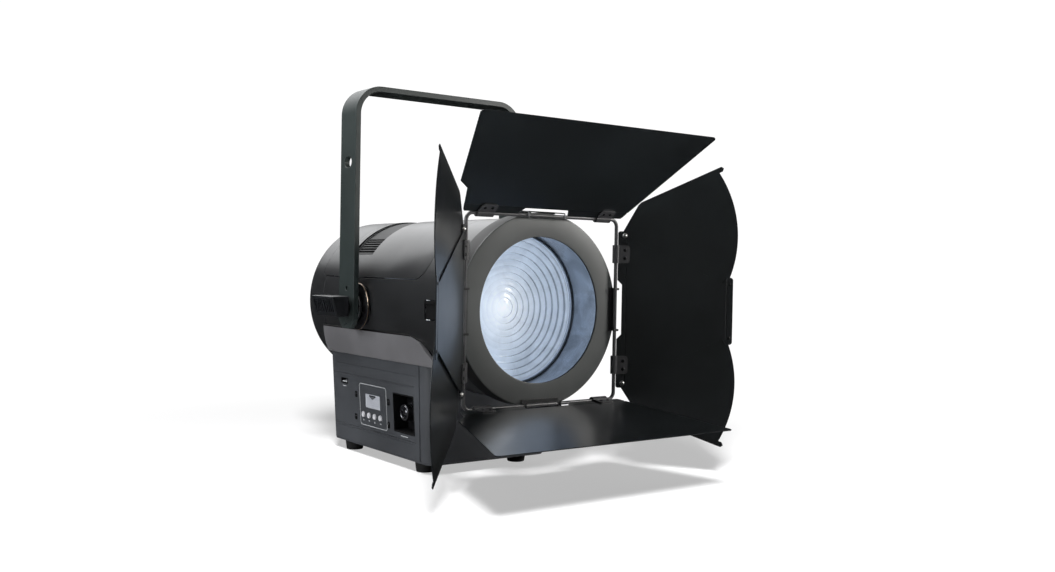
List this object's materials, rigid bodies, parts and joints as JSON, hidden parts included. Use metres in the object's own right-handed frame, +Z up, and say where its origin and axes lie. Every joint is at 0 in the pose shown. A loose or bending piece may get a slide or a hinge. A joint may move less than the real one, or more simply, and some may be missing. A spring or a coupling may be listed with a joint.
{
  "type": "fresnel spotlight",
  "caption": "Studio fresnel spotlight with a stepped lens, square barn-door set with folding side flaps, tilting hanging yoke with lock knobs, and a base housing with a side control panel.",
  "frame": {"origin": "on the flat underside of the base, on the lamp's centre plane, straight below the tilt axis; the feet reach 16 mm lower", "axes": "+Z up, the lens faces -Y and light leaves along -Y, +X is the lamp's side away from the control panel, so +X is to the right when looking along +Y"},
  "size_m": [0.5155, 0.6433, 0.5487],
  "materials": {
    "housing_paint": "satin black paint",
    "ring_paint": "satin black paint",
    "yoke_paint": "fine textured black paint",
    "door_paint": "satin black paint",
    "rubber": "matte",
    "button_plastic": "satin",
    "lens_glass": "stepped clear glass",
    "screen": "gloss",
    "black_plastic": "satin",
    "bare_metal": "satin",
    "bright_steel": "zinc plated",
    "supply_case": "satin",
    "led_board": "satin",
    "reflector_metal": "polished"
  },
  "bodies": {
    "housing": {"front_ring": "ring_paint", "main_shell": "housing_paint", "top_cover": "housing_paint", "rear_cover": "housing_paint", "lens_tube": "housing_paint", "fresnel_lens": "lens_glass", "skirt_left": "housing_paint", "skirt_right": "housing_paint", "base_box": "housing_paint", "base_plate": "housing_paint", "foot_front_left": "rubber", "foot_front_right": "rubber", "foot_rear_left": "rubber", "foot_rear_right": "rubber", "control_panel": "housing_paint", "display_window": "screen", "connector_recess": "black_plastic", "power_inlet": "bare_metal", "guide_rod_left": "bright_steel", "guide_rod_right": "bright_steel", "focus_motor": "black_plastic", "rear_bulkhead": "bare_metal", "fan_frame": "black_plastic", "power_supply": "supply_case", "tilt_boss_left": "housing_paint", "tilt_boss_right": "housing_paint", "door_frame": "housing_paint", "frame_bracket_left": "housing_paint", "frame_bracket_right": "housing_paint", "frame_bracket_bottom": "housing_paint"},
    "light_engine": {"carriage_plate": "bare_metal", "led_module": "led_board", "reflector": "reflector_metal", "heat_sink": "bare_metal"},
    "lead_screw": {"lead_screw": "bright_steel"},
    "fan_rotor": {"fan_rotor": "black_plastic"},
    "frame_catch": {"frame_catch": "bright_steel"},
    "yoke": {"yoke": "yoke_paint"},
    "tilt_knob_left": {"tilt_knob_left": "black_plastic"},
    "tilt_knob_right": {"tilt_knob_right": "black_plastic"},
    "button_mode": {"button_mode": "button_plastic"},
    "button_up": {"button_up": "button_plastic"},
    "button_down": {"button_down": "button_plastic"},
    "button_enter": {"button_enter": "button_plastic"},
    "door_top": {"door_top": "door_paint", "hinge_top_1": "housing_paint", "hinge_top_2": "housing_paint"},
    "door_bottom": {"door_bottom": "door_paint", "hinge_bottom_1": "housing_paint", "hinge_bottom_2": "housing_paint"},
    "door_right": {"door_right": "door_paint", "hinge_right_1": "housing_paint", "hinge_right_2": "housing_paint"},
    "door_left": {"door_left": "door_paint", "hinge_left_1": "housing_paint", "hinge_left_2": "housing_paint"},
    "flap_left_upper": {"flap_left_upper": "door_paint"},
    "flap_left_lower": {"flap_left_lower": "door_paint"},
    "flap_right_upper": {"flap_right_upper": "door_paint"},
    "flap_right_lower": {"flap_right_lower": "door_paint"}
  },
  "joints": [
    {"name": "yoke_tilt", "type": "hinge", "parent": "housing", "child": "yoke", "pos_m": [0, 0, 0.212], "axis": [-1, 0, 0], "range_deg": [-58, 180]},
    {"name": "tilt_knob_left_turn", "type": "hinge", "parent": "yoke", "child": "tilt_knob_left", "pos_m": [-0.15, 0, 0.212], "axis": [-1, 0, 0], "range_deg": [-90, 180]},
    {"name": "tilt_knob_right_turn", "type": "hinge", "parent": "yoke", "child": "tilt_knob_right", "pos_m": [0.15, 0, 0.212], "axis": [1, 0, 0], "range_deg": [-90, 180]},
    {"name": "focus_slide", "type": "slide", "parent": "housing", "child": "light_engine", "axis": [0, 1, 0], "range_m": [-0.08, 0.05]},
    {"name": "lead_screw_turn", "type": "hinge", "parent": "housing", "child": "lead_screw", "pos_m": [0, 0, 0.125], "axis": [0, 1, 0], "continuous": true},
    {"name": "fan_spin", "type": "hinge", "parent": "housing", "child": "fan_rotor", "pos_m": [0, 0.12, 0.217], "axis": [0, 1, 0], "continuous": true},
    {"name": "button_mode_press", "type": "slide", "parent": "housing", "child": "button_mode", "axis": [0.9978, 0, 0.0656], "range_m": [0, 0.0012], "stiffness_N_per_m": 500},
    {"name": "button_up_press", "type": "slide", "parent": "housing", "child": "button_up", "axis": [0.9978, 0, 0.0656], "range_m": [0, 0.0012], "stiffness_N_per_m": 500},
    {"name": "button_down_press", "type": "slide", "parent": "housing", "child": "button_down", "axis": [0.9978, 0, 0.0656], "range_m": [0, 0.0012], "stiffness_N_per_m": 500},
    {"name": "button_enter_press", "type": "slide", "parent": "housing", "child": "button_enter", "axis": [0.9978, 0, 0.0656], "range_m": [0, 0.0012], "stiffness_N_per_m": 500},
    {"name": "door_top_hinge", "type": "hinge", "parent": "housing", "child": "door_top", "pos_m": [0, -0.283, 0.3416], "axis": [-1, 0, 0], "range_deg": [-47, 59]},
    {"name": "door_bottom_hinge", "type": "hinge", "parent": "housing", "child": "door_bottom", "pos_m": [0, -0.283, 0.0924], "axis": [1, 0, 0], "range_deg": [-28, 109]},
    {"name": "door_left_hinge", "type": "hinge", "parent": "housing", "child": "door_left", "pos_m": [-0.1246, -0.283, 0.217], "axis": [0, 0, -1], "range_deg": [-3, 79]},
    {"name": "door_right_hinge", "type": "hinge", "parent": "housing", "child": "door_right", "pos_m": [0.1246, -0.283, 0.217], "axis": [0, 0, 1], "range_deg": [-9, 74]},
    {"name": "flap_left_upper_pivot", "type": "hinge", "parent": "door_left", "child": "flap_left_upper", "pos_m": [-0.13402, -0.29045, 0.3198], "axis": [0.7193, -0.6947, 0], "range_deg": [-4, 56]},
    {"name": "flap_left_lower_pivot", "type": "hinge", "parent": "door_left", "child": "flap_left_lower", "pos_m": [-0.13517, -0.28934, 0.1142], "axis": [-0.7193, 0.6947, 0], "range_deg": [-4, 56]},
    {"name": "flap_right_upper_pivot", "type": "hinge", "parent": "door_right", "child": "flap_right_upper", "pos_m": [0.13538, -0.28829, 0.3198], "axis": [0.5563, 0.831, 0], "range_deg": [0, 60]},
    {"name": "flap_right_lower_pivot", "type": "hinge", "parent": "door_right", "child": "flap_right_lower", "pos_m": [0.13627, -0.28696, 0.1142], "axis": [-0.5563, -0.831, 0], "range_deg": [-4, 56]},
    {"name": "frame_catch_lift", "type": "hinge", "parent": "housing", "child": "frame_catch", "pos_m": [0, -0.265, 0.3476], "axis": [-1, 0, 0], "range_deg": [0, 12], "stiffness_Nm_per_rad": 0.05}
  ],
  "couplings": [
    {"joint": "lead_screw_turn", "follows": "focus_slide", "rad_per_m": 785.4}
  ]
}
